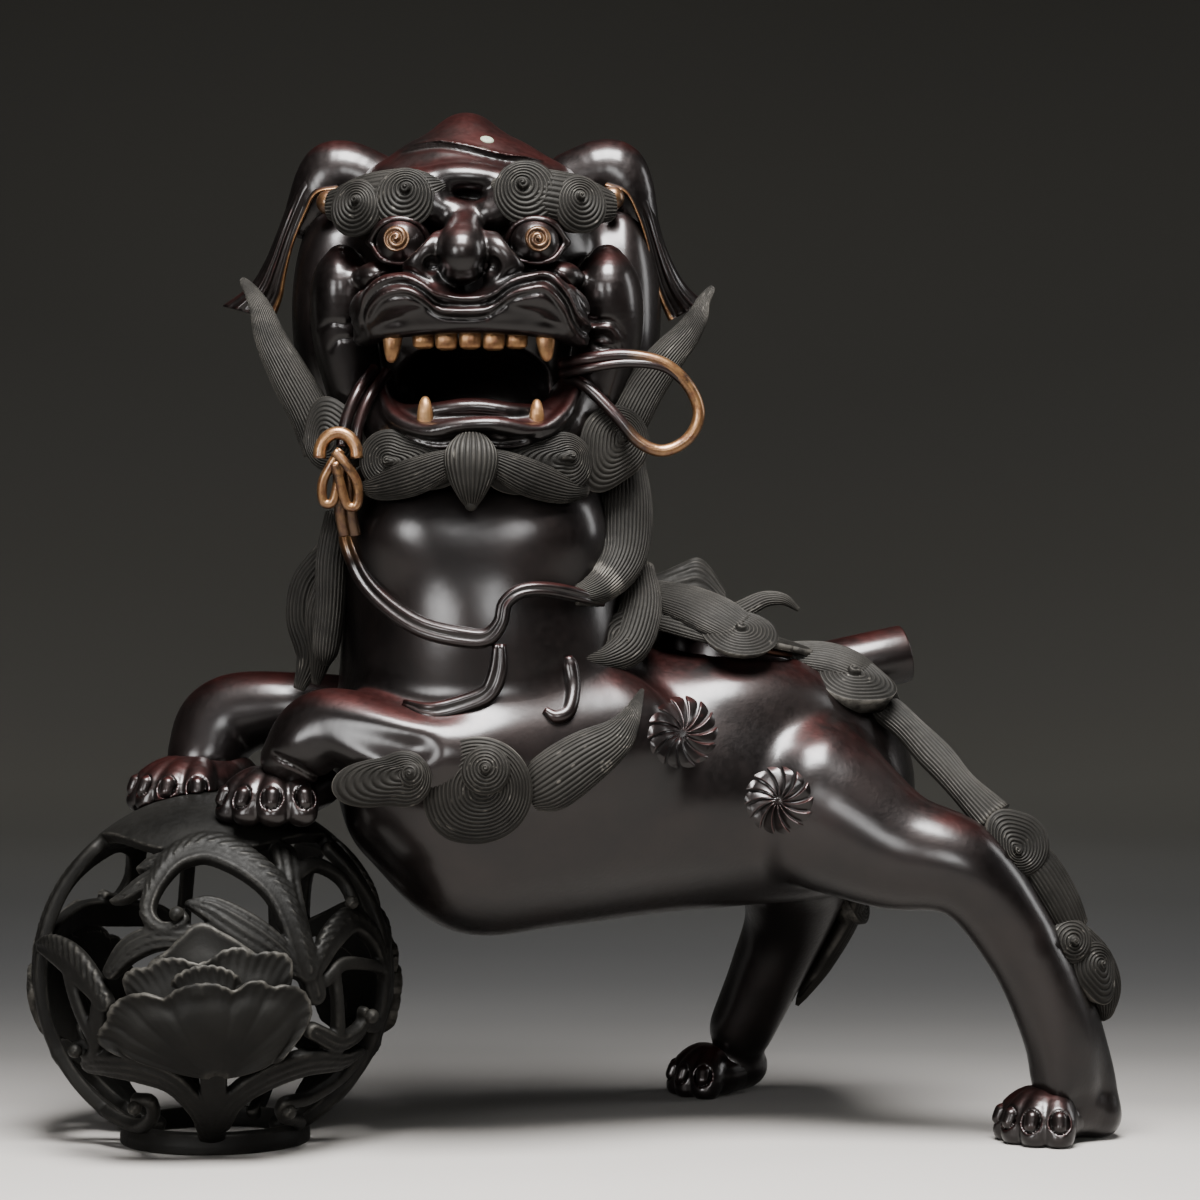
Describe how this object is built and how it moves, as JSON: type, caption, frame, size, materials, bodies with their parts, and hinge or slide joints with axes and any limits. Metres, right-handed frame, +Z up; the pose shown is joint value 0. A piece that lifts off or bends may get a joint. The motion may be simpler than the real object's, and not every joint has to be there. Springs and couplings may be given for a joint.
{
  "type": "lion incense burner",
  "caption": "Cast guardian lion incense burner: hollow body with a lift-off back lid over an ash bowl, open mouth for smoke, forepaws on an openwork ball, empty tail socket.",
  "frame": {"origin": "middle of the footprint on the ground, below the middle of the bounding box", "axes": "+X to the rump, -X to the ball, +Y away from the side the face looks to, +Z up"},
  "size_m": [0.3635, 0.1833, 0.3409],
  "materials": {
    "bronze": "dark brown-black patina, worn glossy",
    "hair_bronze": "grooved, matte grey-black patina",
    "ball_bronze": "matte grey-black patina",
    "gilt": "worn gilding over dark metal",
    "copper": "sooty copper",
    "verdigris": "pale green plug"
  },
  "bodies": {
    "lion": {"torso_shell": "bronze", "head_shell": "bronze", "lower_jaw": "bronze", "tongue": "copper", "eyes": "gilt", "incisor_row": "gilt", "upper_fangs": "gilt", "lower_fangs": "gilt", "left_ear": "bronze", "right_ear": "bronze", "left_brow_curls": "hair_bronze", "right_brow_curls": "hair_bronze", "crown_plug": "verdigris", "left_cheek_lock": "hair_bronze", "right_cheek_lock": "hair_bronze", "left_beard": "hair_bronze", "right_beard": "hair_bronze", "chin_tuft": "hair_bronze", "cord_loop": "gilt", "cord_knot": "gilt", "chest_cord": "gilt", "chest_straps": "bronze", "left_neck_lock": "hair_bronze", "right_neck_mane": "hair_bronze", "near_foreleg": "bronze", "far_foreleg": "bronze", "near_forepaw": "bronze", "far_forepaw": "bronze", "near_shoulder_flame": "hair_bronze", "far_shoulder_flame": "hair_bronze", "near_hind_leg": "bronze", "far_hind_leg": "bronze", "near_leg_mane": "hair_bronze", "far_leg_mane": "hair_bronze", "spine_mane": "hair_bronze", "tail_socket": "bronze", "openwork_ball": "ball_bronze", "ball_peonies": "ball_bronze", "paw_dowels": "copper", "hearth_collar": "bronze"},
    "bowl": {"ash_bowl": "copper"},
    "lid": {"lid_plate": "hair_bronze", "lid_near_curl": "hair_bronze", "lid_far_lock": "hair_bronze", "lid_rear_lock": "hair_bronze"}
  },
  "joints": [
    {"name": "bowl_lift", "type": "slide", "parent": "lion", "child": "bowl", "axis": [0.2079, 0, 0.9781], "range_m": [0, 0.06]},
    {"name": "lid_lift", "type": "slide", "parent": "bowl", "child": "lid", "axis": [0.2079, 0, 0.9781], "range_m": [0, 0.08]}
  ]
}
